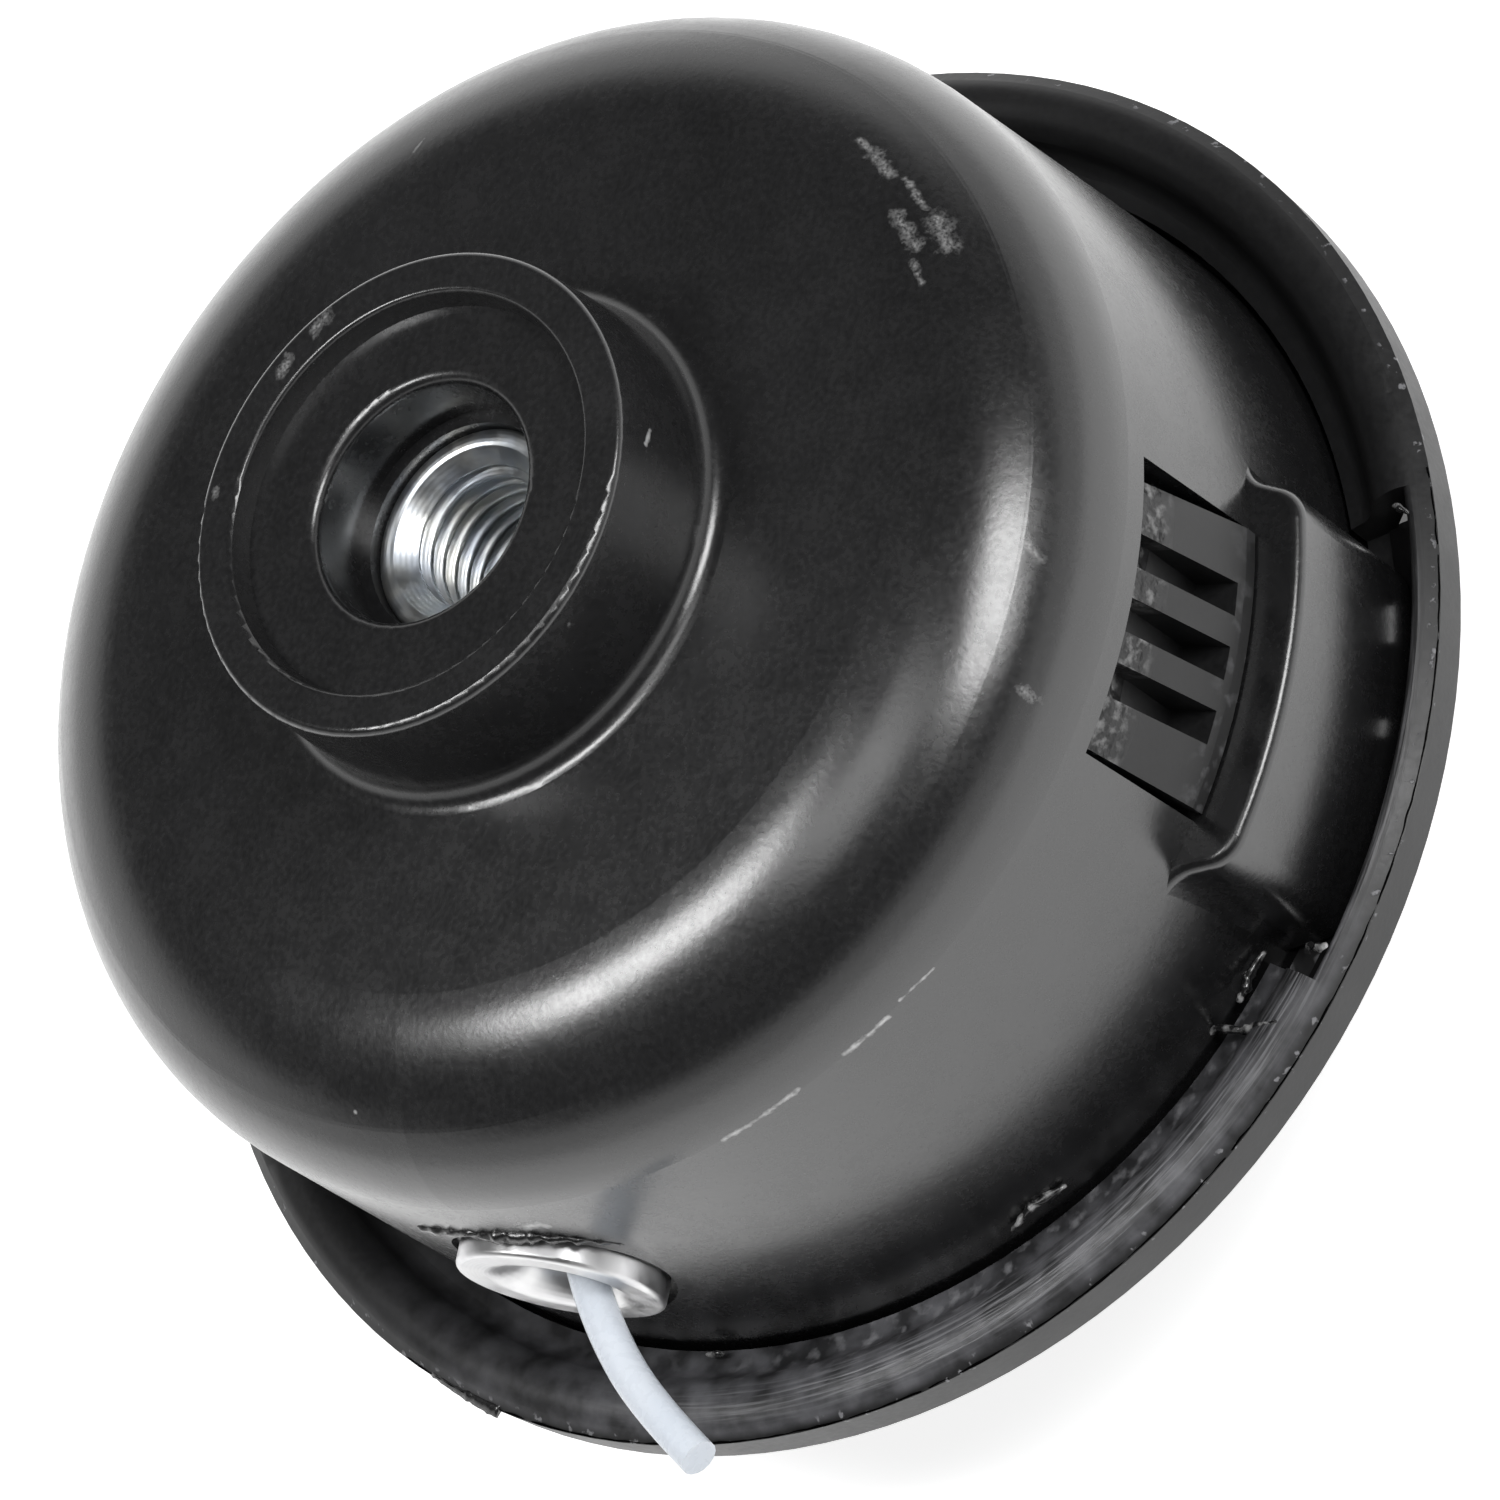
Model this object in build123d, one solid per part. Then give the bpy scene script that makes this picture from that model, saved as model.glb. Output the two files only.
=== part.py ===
from build123d import *
import math
import os

# Tap-feed trimmer head. Millimetres, Z is the spin axis.
# Heights below are measured from the brim's parting plane, up towards the hub.
# The finished head is lifted by KNOB_DROP, so it stands with its button on Z = 0.

# Housing: a crowned cup with a threaded hub on top
BRIM_WIDTH = 6.91         # how far the brim stands out past the cup
WALL_DRAFT = 1.8          # degrees, the cup narrows upwards
WALL = 2.2                # moulded wall
EAVE_Z = 27.25            # where the wall turns into the shoulder's bevel
BEVEL_WIDTH = 6.1         # the bevel, seen along the axis
SHOULDER_R = 8.0          # round between wall and bevel
BROW_R = 13.0             # round between bevel and crown
CROWN_TOP = 33.74         # height of the crown on the axis
CROWN_R = 375.0
FOOT_Z = -6.5             # lower edge of the cup, on the cover's floor

# Hub boss with its stepped bore
BOSS_R = 15.3
BOSS_DRAFT = 0.5          # extra radius at the base of the boss
BOSS_TOP = 42.35
BOSS_ROOT_R = 1.4
RIM_ROUND = 0.45
RECESS_R = 12.8
RECESS_DEPTH = 1.5
RECESS_DRAFT = 0.4
RECESS_ROUND = 0.3
BORE_R = 7.6
BORE_ROUND = 0.7
BORE_FLOOR = 0.7          # ledge at the foot of the bore, above the nut's face

# Steel drive nut, moulded into the hub
NUT_FACE_Z = 35.6
NUT_COLLAR_R = 6.75
NUT_COLLAR = 1.8
NUT_FLATS = 17.0
NUT_LENGTH = 13.1
NUT_FIT = 0.05
THREAD_MINOR_R = 4.32     # M10 x 1.25
THREAD_MOUTH_R = 5.65
CORE_GAP = 0.3            # between the core round the nut and the spool's hub
CORE_FLOOR = 1.5          # plastic under the nut

# Spindle under the hub, for the spool
SPINDLE_R = 8.0
SPINDLE_BORE_R = 5.3
SPINDLE_FOOT_Z = -3.0
RUNNING_FIT = 0.1

# Latch: keyed ledge and window in the cup, ribbed hook on the cover
LEDGE_Z = 10.4
LEDGE_SLOT = 2.0          # open slot between ledge and brim
LEDGE_HALF_ANGLE = 16.0
LEDGE_SPREAD = 3.0        # degrees by which its sides splay towards the cup
LEDGE_FOOT_Z = -3.0
LEDGE_CORNER = 2.6
LEDGE_BLEND = 2.4
LEDGE_ROUND = 0.7
WINDOW_WIDTH = 18.4
WINDOW_TOP = 22.0
HOOK_GAP = 0.5            # between hook and window sides
HOOK_SEAT_GAP = 0.2
HOOK_TOP_GAP = 0.7
HOOK_LEAD = 2.09          # hook's upper, lead-in end stands back from the cup
HOOK_PROUD = 0.21         # its lower, locking end stands proud
HOOK_LAND = 1.0          # straight height above the locking face
ARM = 2.1
ARM_GAP = 0.3             # between arm and cup
GROOVES = 3
GROOVE_WIDTH = 2.1
GROOVE_LAND = 1.6         # hook left whole under the grooves

# Line eyelets
EYELET_Z = 12.0
EYELET_PROUD = 0.51       # the eyelet's face past the cup's radius
EYELET_LENGTH = 5.2
EYELET_FLANGE_R = 6.5
EYELET_FLANGE = 1.9
EYELET_BARREL_R = 4.9
EYELET_THROAT_R = 3.0
EYELET_MOUTH_R = 4.7
EYELET_MOUTH_DEPTH = 2.6
EYELET_LEAD_R = 3.8
EYELET_LEAD_DEPTH = 1.0
EYELET_EDGE = 0.35
EYELET_FIT = 0.1
EYELET_SEAT_GAP = 0.5     # between flange and its round recess

# Cover with its brim
BRIM_R = 46.0             # outer radius of the head, which all its round parts follow
BRIM_DRAFT = 0.1          # the brim narrows towards its lower edge
BRIM_DEPTH = 2.7
BRIM_WALL = 1.7
BEAD_INSET = 2.9          # from the brim's edge to its bead
BEAD_Z = 2.1
BEAD_ROUND = 2.4
VALLEY_INSET = 4.8        # from the brim's edge to the valley inside the bead
VALLEY_Z = -1.1
VALLEY_ROUND = 1.6
LIP_Z = -1.5              # inner edge of the brim, beside the cup
COVER_FIT = 0.25
COVER_FLOOR = 2.2
COVER_EDGE_INSET = 4.6    # from the brim's edge to the side of the cover below it
COVER_EDGE_ROUND = 2.4
BRIM_SKIN = 2.6
NOTCH_HALF_ANGLE = 20.6
NOTCH_ROUND = 0.4         # on the edge that faces the slot
NOTCH_GAP = 0.5           # under the ledge
OPENING_HALF_ANGLE = 18.5 # opening in the cover's floor below a latch
OPENING_INSET = 6.0       # from the brim's edge to that opening
DRAINS = ((3.0, 2.3), (13.3, 3.9))    # openings in the cover's side: degrees from the latch, half width
COLLAR_WALL = 2.6
COLLAR_DROP = 2.3
COLLAR_ROUND = 0.8

# Tap button, trapped in the cover and lifted by a tap on the ground
KNOB_DROP = 20.0          # parting plane above the ground face
KNOB_LIP = 4.2            # width of the trapping flange past the button's side
KNOB_CLEAR = 1.5          # between the flange and the feed stops round it
KNOB_FLAT_CUT = 1.6       # depth of the flats that keep the button from turning
KNOB_FIT = 0.4
KNOB_WALL = 2.8
KNOB_FLOOR = 3.2
KNOB_ROUND = 4.0
KNOB_FLANGE = 2.2
KNOB_RIBS = 6
KNOB_RIB = 1.6
KNOB_RIB_GAP = 0.6        # left under the spindle when the button is pressed
SEAT_GAP = 0.1

# Spool
LIFT = 5.0
FLANGE_GAP = 0.6          # between the spool and the latch arms
FLANGE = 2.0
CHAMBER = 21.0
HUB_WALL = 2.0
BUSH_WALL = 1.6
BUSH_HEIGHT = 12.0
WEB = 3.0
PARKING_SLOTS = 2
PARKING_WIDTH = 3.2
PARKING_DEPTH = 5.0

# Feed stops: square lugs below and above the spool
STOPS = 6
STOP_HALF_ANGLE = 7.0
STOP_INSET = 2.7          # from the spool's edge
STOP_LENGTH = 5.0
LOWER_STOP = 2.0
UPPER_STOP = 2.2
STOP_GAP = 0.4
LOWER_STOP_SHIFT = 30.0   # cover lugs stand midway between spool lugs
UPPER_STOP_SHIFT = 45.0   # cup lugs catch the spool half a pitch further on

# Feed spring
SPRING_GAP = 0.7          # between the spring and the bush inside it
SPRING_CLEAR = 0.6        # between the spring and the hub round it
SPRING_WIRE = 1.6
SPRING_TURNS = 6.0

# Cutting line
LINE_D = 2.4
WINDING_R = 24.5
WINDING_TURNS = 8
WINDING_FIT = 0.1
RIDGE = 0.8               # depth of the grooves between turns
# Routes of the two line ends from the winding to their eyelets, as distance
# along the eyelet's axis and distance sideways from it.
LINE_ROUTE = [            # drawn out through its eyelet
    (23.25, -11.6), (25.44, -7.35), (28.65, -3.7), (32.6, -0.8),
    (37.5, 1.0), (42.3, 4.15), (46.5, 8.2), (49.6, 12.8),
]
PARKED_ROUTE = [          # ends in the mouth of its eyelet
    (13.78, -22.05), (17.73, -19.01), (20.9, -15.47), (23.25, -11.6), (25.44, -7.35),
    (28.65, -3.7), (32.6, -0.8), (36.2, 0.75), (39.2, 1.55),
]
ARC_SHARE = 0.45          # share of a run that its bend may use

LATCH_ANGLES = (90, 270)
EYELET_ANGLES = (0, 180)
BORE_TOOL = 20.0          # length of cutting bodies past a face

# Sizes that follow from the ones above
WALL_TAPER = math.tan(math.radians(WALL_DRAFT))
WALL_R = BRIM_R - BRIM_WIDTH      # outer radius of the cup at the parting plane
LEDGE_R = BRIM_R - BRIM_WALL - LEDGE_SLOT
BEAD_R = BRIM_R - BEAD_INSET
VALLEY_R = BRIM_R - VALLEY_INSET
COVER_EDGE_R = BRIM_R - COVER_EDGE_INSET
HOOK_LEAD_R = WALL_R - HOOK_LEAD
HOOK_R = WALL_R + HOOK_PROUD
ARM_R = WALL_R - WALL - WINDOW_TOP * WALL_TAPER - ARM_GAP
EYELET_FACE = WALL_R + EYELET_PROUD
EYELET_BACK = EYELET_FACE - EYELET_FLANGE
EYELET_INNER = EYELET_FACE - EYELET_LENGTH
NUT_SHOULDER_Z = NUT_FACE_Z - NUT_COLLAR
NUT_FOOT_Z = NUT_FACE_Z - NUT_LENGTH
CORE_FOOT_Z = NUT_FOOT_Z - CORE_FLOOR
COVER_FOOT_Z = FOOT_Z - COVER_FLOOR
BUSH_BORE_R = SPINDLE_R + RUNNING_FIT
BUSH_R = BUSH_BORE_R + BUSH_WALL
SPRING_R = BUSH_R + SPRING_GAP + SPRING_WIRE / 2
WELL_R = SPRING_R + SPRING_WIRE / 2 + SPRING_CLEAR
HUB_R = WELL_R + HUB_WALL
CORE_R = WELL_R - CORE_GAP
FLANGE_R = ARM_R - ARM - FLANGE_GAP
STOP_OUTER_R = FLANGE_R - STOP_INSET
STOP_INNER_R = STOP_OUTER_R - STOP_LENGTH
KNOB_FLANGE_R = STOP_INNER_R - KNOB_CLEAR
KNOB_R = KNOB_FLANGE_R - KNOB_LIP
KNOB_FLAT = KNOB_R - KNOB_FLAT_CUT
HOLE_R = KNOB_R + KNOB_FIT
COLLAR_R = HOLE_R + COLLAR_WALL
KNOB_TOP_Z = FOOT_Z + SEAT_GAP + KNOB_FLANGE
SPOOL_FOOT_Z = KNOB_TOP_Z + SEAT_GAP
CHAMBER_Z = SPOOL_FOOT_Z + FLANGE
SPOOL_TOP_Z = CHAMBER_Z + CHAMBER + FLANGE
SPRING_SEAT_Z = SPOOL_FOOT_Z + WEB


def wall_radius(height, inset=0.0):
    """Radius of the cup's wall at a height, outside or a wall's thickness in."""
    return WALL_R - inset - height * WALL_TAPER


def latch_half_angle():
    """Half of the angle that a latch arm and its hook span."""
    return math.degrees(math.asin((WINDOW_WIDTH / 2 - HOOK_GAP) / wall_radius(LEDGE_Z)))


def crown_height(radius, inset=0.0):
    """Height of the crown at a radius."""
    return CROWN_TOP - inset - CROWN_R + math.sqrt(CROWN_R**2 - radius**2)


def shoulder(inset=0.0):
    """Lower and upper corner of the shoulder's bevel, outside or a wall's thickness in."""
    upper_r = wall_radius(EAVE_Z) - BEVEL_WIDTH
    slope = math.atan2(crown_height(upper_r) - EAVE_Z, BEVEL_WIDTH)
    lower_z = EAVE_Z - inset * math.tan(math.pi / 4 - slope / 2)
    upper_r -= inset * math.tan(slope / 2)
    return (wall_radius(lower_z, inset), lower_z), (upper_r, crown_height(upper_r, inset))


def polar(radius, angle):
    """Point at a radius and an azimuth in degrees."""
    return (radius * math.cos(math.radians(angle)), radius * math.sin(math.radians(angle)))


def rounded(face, rounds):
    """Face with named corners rounded; rounds holds (corner, radius) pairs."""
    for corner, radius in rounds:
        face = fillet(face.vertices().sort_by_distance(corner)[0], radius)
    return face


def turned(outline, rounds=()):
    """Solid of revolution about Z from a closed outline of (radius, height)."""
    return revolve(Plane.XZ * rounded(make_face(outline.edges()), rounds), Axis.Z)


def tube(inner, outer, bottom, top):
    """Plain ring about Z."""
    return turned(Polyline((inner, bottom), (outer, bottom), (outer, top), (inner, top), close=True))


def sector(inner, outer, half_angle, bottom, top, centre):
    """Part of a ring about Z, centred on an azimuth."""
    outline = Polyline((inner, bottom), (outer, bottom), (outer, top), (inner, top), close=True)
    face = Plane.XZ * make_face(outline.edges())
    return Rot(0, 0, centre - half_angle) * revolve(face, Axis.Z, revolution_arc=2 * half_angle)


def stop_ring(bottom, top, shift):
    """Ring of square feed lugs."""
    pitch = 360 / STOPS
    return [sector(STOP_INNER_R, STOP_OUTER_R, STOP_HALF_ANGLE, bottom, top, shift + i * pitch)
            for i in range(STOPS)]


def radial_cylinder(radius, start, end, height, angle):
    """Cylinder along a radius of the head, from one distance to another."""
    rod = Cylinder(radius, end - start, align=(Align.CENTER, Align.CENTER, Align.MIN))
    return Rot(0, 0, angle) * Pos(start, 0, height) * Rot(0, 90, 0) * rod


def cup_solid():
    """Outside of the housing as one turned solid, with the boss and its bore."""
    eave, brow = shoulder()
    root_r = BOSS_R + BOSS_DRAFT
    root = (root_r, crown_height(root_r))
    rim = (BOSS_R, BOSS_TOP)
    recess = (RECESS_R, BOSS_TOP)
    mouth = (BORE_R, BOSS_TOP - RECESS_DEPTH)
    floor_z = NUT_FACE_Z + BORE_FLOOR
    pocket_r = NUT_COLLAR_R + NUT_FIT
    middle = (root_r + brow[0]) / 2
    outline = Curve() + [
        Polyline((0, NUT_SHOULDER_Z), (0, FOOT_Z), (wall_radius(FOOT_Z), FOOT_Z), eave, brow),
        ThreePointArc(brow, (middle, crown_height(middle)), root),
        Polyline(root, rim, recess, (RECESS_R - RECESS_DRAFT, BOSS_TOP - RECESS_DEPTH), mouth,
                 (BORE_R, floor_z), (pocket_r, floor_z), (pocket_r, NUT_SHOULDER_Z), (0, NUT_SHOULDER_Z)),
    ]
    return turned(outline, [(eave, SHOULDER_R), (brow, BROW_R), (root, BOSS_ROOT_R), (rim, RIM_ROUND),
                            (recess, RECESS_ROUND), (mouth, BORE_ROUND)])


def cup_cavity():
    """Space inside the cup."""
    eave, brow = shoulder(WALL)
    top = (0, crown_height(0, WALL))
    outline = Curve() + [
        Polyline(top, (0, FOOT_Z), (wall_radius(FOOT_Z, WALL), FOOT_Z), eave, brow),
        ThreePointArc(brow, (brow[0] / 2, crown_height(brow[0] / 2, WALL)), top),
    ]
    return turned(outline, [(eave, SHOULDER_R - WALL), (brow, BROW_R - WALL)])


def ledge_plan():
    """Outline of the cup with its two keyed ledges, seen along the axis."""
    root_r = wall_radius(LEDGE_Z)
    plan = Circle(root_r)
    corners = []
    for angle in LATCH_ANGLES:
        low = polar(LEDGE_R, angle - LEDGE_HALF_ANGLE)
        high = polar(LEDGE_R, angle + LEDGE_HALF_ANGLE)
        low_root = polar(root_r, angle - LEDGE_HALF_ANGLE - LEDGE_SPREAD)
        high_root = polar(root_r, angle + LEDGE_HALF_ANGLE + LEDGE_SPREAD)
        outline = [Polyline(high, high_root, (0, 0), low_root, low),
                   ThreePointArc(low, polar(LEDGE_R, angle), high)]
        plan += make_face((Curve() + outline).edges())
        corners += [(low, LEDGE_CORNER), (high, LEDGE_CORNER)]
        corners += [(low_root, LEDGE_BLEND), (high_root, LEDGE_BLEND)]
    return rounded(plan, corners)


def ledges():
    """Keyed ledges below the windows, with a rounded upper edge."""
    block = Pos(0, 0, LEDGE_FOOT_Z) * extrude(ledge_plan(), LEDGE_Z - LEDGE_FOOT_Z)
    return fillet(block.faces().sort_by(Axis.Z)[-1].edges(), LEDGE_ROUND)


def latch_cuts(angle):
    """Window above a ledge and the hollow behind it."""
    half_hollow = LEDGE_HALF_ANGLE - math.degrees(WALL / LEDGE_R)
    hollow = sector(wall_radius(0, 2 * WALL), LEDGE_R - WALL, half_hollow,
                    FOOT_Z - WALL, LEDGE_Z - WALL, angle)
    window = Box(BORE_TOOL, WINDOW_WIDTH, WINDOW_TOP - LEDGE_Z, align=(Align.CENTER, Align.CENTER, Align.MIN))
    return [hollow, Rot(0, 0, angle) * Pos(WALL_R, 0, LEDGE_Z) * window]


def eyelet_cuts(angle):
    """Hole for an eyelet's barrel and the flat round recess for its flange."""
    hole = radial_cylinder(EYELET_BARREL_R + EYELET_FIT, EYELET_INNER - WALL, EYELET_FACE, EYELET_Z, angle)
    recess = radial_cylinder(EYELET_FLANGE_R + EYELET_SEAT_GAP, EYELET_BACK, EYELET_FACE + WALL, EYELET_Z, angle)
    return [hole, recess]


def nut_hex(fit):
    """Hexagonal body of the drive nut, or its pocket."""
    plan = RegularPolygon(NUT_FLATS / 2 + fit, 6, major_radius=False)
    return Pos(0, 0, NUT_FOOT_Z - fit) * extrude(plan, NUT_SHOULDER_Z - NUT_FOOT_Z + fit)


def housing():
    """Moulded upper body."""
    body = cup_solid() + ledges() - cup_cavity()
    body += tube(0, CORE_R, CORE_FOOT_Z, NUT_SHOULDER_Z)
    body += tube(0, SPINDLE_R, SPINDLE_FOOT_Z, CORE_FOOT_Z)
    lug_foot = SPOOL_TOP_Z + LIFT + STOP_GAP
    lug_top = crown_height(STOP_OUTER_R, WALL / 2)
    body += stop_ring(lug_foot, lug_top, UPPER_STOP_SHIFT)
    body -= nut_hex(NUT_FIT)
    body -= tube(0, SPINDLE_BORE_R, SPINDLE_FOOT_Z, NUT_FOOT_Z)
    for angle in LATCH_ANGLES:
        body -= latch_cuts(angle)
    for angle in EYELET_ANGLES:
        body -= eyelet_cuts(angle)
    return body


def drive_nut():
    """Steel nut with a round collar; its bore is the thread's minor diameter."""
    flare = THREAD_MOUTH_R - THREAD_MINOR_R
    bore = turned(Polyline((0, NUT_FOOT_Z), (THREAD_MINOR_R, NUT_FOOT_Z), (THREAD_MINOR_R, NUT_FACE_Z - flare),
                           (THREAD_MOUTH_R, NUT_FACE_Z), (0, NUT_FACE_Z), close=True))
    return nut_hex(0) + tube(0, NUT_COLLAR_R, NUT_SHOULDER_Z, NUT_FACE_Z) - bore


def eyelet(angle):
    """Turned eyelet with a flared mouth."""
    mouth = (EYELET_MOUTH_R, EYELET_FACE)
    throat_end = (EYELET_THROAT_R, EYELET_FACE - EYELET_MOUTH_DEPTH)
    throat = (EYELET_THROAT_R, EYELET_INNER + EYELET_LEAD_DEPTH)
    lead = (EYELET_LEAD_R, EYELET_INNER)
    front = (EYELET_FLANGE_R, EYELET_FACE)
    back = (EYELET_FLANGE_R, EYELET_BACK)
    outline = Curve() + [
        Polyline(lead, (EYELET_BARREL_R, EYELET_INNER), (EYELET_BARREL_R, EYELET_BACK), back, front, mouth),
        EllipticalCenterArc((EYELET_MOUTH_R, throat_end[1]), EYELET_MOUTH_R - EYELET_THROAT_R,
                            EYELET_MOUTH_DEPTH, 90, arc_size=90),
        Polyline(throat_end, throat, lead),
    ]
    body = turned(outline, [(front, EYELET_EDGE), (back, EYELET_EDGE)])
    return Rot(0, 0, angle) * Pos(0, 0, EYELET_Z) * Rot(0, 90, 0) * body


def cover_disc():
    """Floor, upstand and brim of the cover as one turned solid."""
    inner_r = wall_radius(FOOT_Z) + COVER_FIT
    skirt_r = BRIM_R - BRIM_DRAFT
    edge = (COVER_EDGE_R, COVER_FOOT_Z)
    bead = (BEAD_R, BEAD_Z)
    valley = (VALLEY_R, VALLEY_Z)
    collar = (COLLAR_R, COVER_FOOT_Z - COLLAR_DROP)
    outline = Polyline(
        (HOLE_R, FOOT_Z), (HOLE_R, COVER_FOOT_Z - COLLAR_DROP), collar, (COLLAR_R, COVER_FOOT_Z), edge,
        (COVER_EDGE_R, VALLEY_Z - BRIM_SKIN), (BRIM_R - BRIM_WALL, BEAD_Z - BRIM_SKIN),
        (skirt_r - BRIM_WALL, -BRIM_DEPTH), (skirt_r, -BRIM_DEPTH), (BRIM_R, 0), bead, valley,
        (inner_r, LIP_Z), (inner_r, FOOT_Z), close=True)
    return turned(outline, [(edge, COVER_EDGE_ROUND), (bead, BEAD_ROUND), (valley, VALLEY_ROUND),
                            (collar, COLLAR_ROUND)])


def notched(disc):
    """Cover disc with a notch in the brim for each ledge, and openings below it."""
    inner_r = BRIM_R - BRIM_WALL
    notch_z = LEDGE_FOOT_Z - NOTCH_GAP
    for angle in LATCH_ANGLES:
        disc -= sector(wall_radius(0), inner_r, NOTCH_HALF_ANGLE, notch_z, BEAD_Z, angle)
        disc -= sector(ARM_R, BRIM_R - OPENING_INSET, OPENING_HALF_ANGLE, COVER_FOOT_Z, FOOT_Z, angle)
        for shift, half_angle in DRAINS:
            disc -= sector(wall_radius(0), COVER_EDGE_R + COVER_FIT, half_angle, FOOT_Z, notch_z, angle + shift)
    arcs = disc.edges().filter_by(GeomType.CIRCLE).filter_by(lambda edge: abs(edge.radius - inner_r) < SEAT_GAP)
    return fillet(arcs.group_by(Axis.Z)[-1], NOTCH_ROUND)


def hook():
    """Wedge of a latch hook about azimuth 0, with grooves between its ribs."""
    half_angle = latch_half_angle()
    foot = LEDGE_Z + HOOK_SEAT_GAP
    top = WINDOW_TOP - HOOK_TOP_GAP
    outline = Polyline((ARM_R - ARM, foot), (HOOK_R, foot), (HOOK_R, foot + HOOK_LAND), (HOOK_LEAD_R, top),
                       (ARM_R - ARM, top), close=True)
    wedge = revolve(Plane.XZ * make_face(outline.edges()), Axis.Z, revolution_arc=2 * half_angle)
    wedge = Rot(0, 0, -half_angle) * wedge
    pitch = 2 * ARM_R * math.sin(math.radians(half_angle)) / (GROOVES + 1)
    groove = Box(BORE_TOOL, GROOVE_WIDTH, top - foot, align=(Align.MIN, Align.CENTER, Align.MIN))
    for i in range(GROOVES):
        wedge -= Pos(ARM_R, (i - (GROOVES - 1) / 2) * pitch, foot + GROOVE_LAND) * groove
    return wedge


def latch_arm(angle):
    """Springy arm from the cover's floor up to its hook in the window."""
    arm = sector(ARM_R - ARM, ARM_R, latch_half_angle(),
                 FOOT_Z - COVER_FLOOR / 2, LEDGE_Z + HOOK_SEAT_GAP, angle)
    return [arm, Rot(0, 0, angle) * hook()]


def cover():
    """Moulded lower body with the brim, two latch arms and the lower feed lugs."""
    body = notched(cover_disc())
    for angle in LATCH_ANGLES:
        body += latch_arm(angle)
    body += stop_ring(FOOT_Z - COVER_FLOOR / 2, FOOT_Z + LOWER_STOP, LOWER_STOP_SHIFT)
    for side in (-1, 1):
        flat = Box(2 * KNOB_R, COLLAR_R - KNOB_FLAT, COVER_FLOOR + COLLAR_DROP,
                   align=(Align.CENTER, Align.MIN, Align.MAX))
        segment = Rot(0, 0, 90 - 90 * side) * Pos(0, KNOB_FLAT + KNOB_FIT, FOOT_Z) * flat
        body += segment & tube(0, COLLAR_R, COVER_FOOT_Z - COLLAR_DROP, FOOT_Z)
    return body


def bump_knob():
    """Hollow tap button with a trapping flange and inner ribs."""
    foot = (KNOB_R, -KNOB_DROP)
    inner_r = KNOB_R - KNOB_WALL
    inner_foot = (inner_r, KNOB_FLOOR - KNOB_DROP)
    flange_foot = KNOB_TOP_Z - KNOB_FLANGE
    outline = Polyline((0, -KNOB_DROP), foot, (KNOB_R, flange_foot), (KNOB_FLANGE_R, flange_foot),
                       (KNOB_FLANGE_R, KNOB_TOP_Z), (inner_r, KNOB_TOP_Z), inner_foot,
                       (0, KNOB_FLOOR - KNOB_DROP), close=True)
    body = turned(outline, [(foot, KNOB_ROUND), (inner_foot, KNOB_ROUND - KNOB_WALL / 2)])
    shank = Box(2 * KNOB_FLANGE_R, 2 * KNOB_FLAT, flange_foot + KNOB_DROP,
                align=(Align.CENTER, Align.CENTER, Align.MIN))
    body &= Pos(0, 0, -KNOB_DROP) * shank + tube(0, KNOB_FLANGE_R, flange_foot, KNOB_TOP_Z)
    rib_top = SPINDLE_FOOT_Z - LIFT - KNOB_RIB_GAP
    rib = Box(inner_r, KNOB_RIB, rib_top + KNOB_DROP - KNOB_FLOOR / 2, align=(Align.MIN, Align.CENTER, Align.MIN))
    for i in range(KNOB_RIBS):
        body += Rot(0, 0, i * 360 / KNOB_RIBS) * Pos(0, 0, KNOB_FLOOR / 2 - KNOB_DROP) * rib
    return body


def spool():
    """Line spool with a sliding bush, a spring well and feed lugs on both flanges."""
    body = tube(BUSH_BORE_R, HUB_R, SPOOL_FOOT_Z, SPRING_SEAT_Z)
    body += tube(BUSH_BORE_R, BUSH_R, SPOOL_FOOT_Z, SPOOL_FOOT_Z + BUSH_HEIGHT)
    body += tube(WELL_R, HUB_R, SPOOL_FOOT_Z, SPOOL_TOP_Z)
    body += tube(HUB_R - HUB_WALL / 2, FLANGE_R, SPOOL_FOOT_Z, CHAMBER_Z)
    body += tube(HUB_R - HUB_WALL / 2, FLANGE_R, SPOOL_TOP_Z - FLANGE, SPOOL_TOP_Z)
    body += stop_ring(SPOOL_FOOT_Z - LOWER_STOP, SPOOL_FOOT_Z + FLANGE / 2, 0)
    body += stop_ring(SPOOL_TOP_Z - FLANGE / 2, SPOOL_TOP_Z + UPPER_STOP, 0)
    slot = Box(2 * PARKING_DEPTH, PARKING_WIDTH, 2 * FLANGE)
    pitch = 360 / PARKING_SLOTS
    for i in range(PARKING_SLOTS):
        body -= Rot(0, 0, 180 / STOPS + i * pitch) * Pos(FLANGE_R, 0, SPOOL_TOP_Z) * slot
    return body


def line_winding():
    """Wound line as one solid, with a ridge for each turn of the outer layer."""
    inner_r = HUB_R + WINDING_FIT
    low = CHAMBER_Z + WINDING_FIT
    pitch = (CHAMBER - 2 * WINDING_FIT) / WINDING_TURNS
    valley_r = WINDING_R - RIDGE
    turns = [ThreePointArc((valley_r, low + i * pitch), (WINDING_R, low + (i + 0.5) * pitch),
                           (valley_r, low + (i + 1) * pitch)) for i in range(WINDING_TURNS)]
    high = low + WINDING_TURNS * pitch
    back = Polyline((valley_r, high), (inner_r, high), (inner_r, low), (valley_r, low))
    return turned(Curve() + turns + [back])


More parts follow.
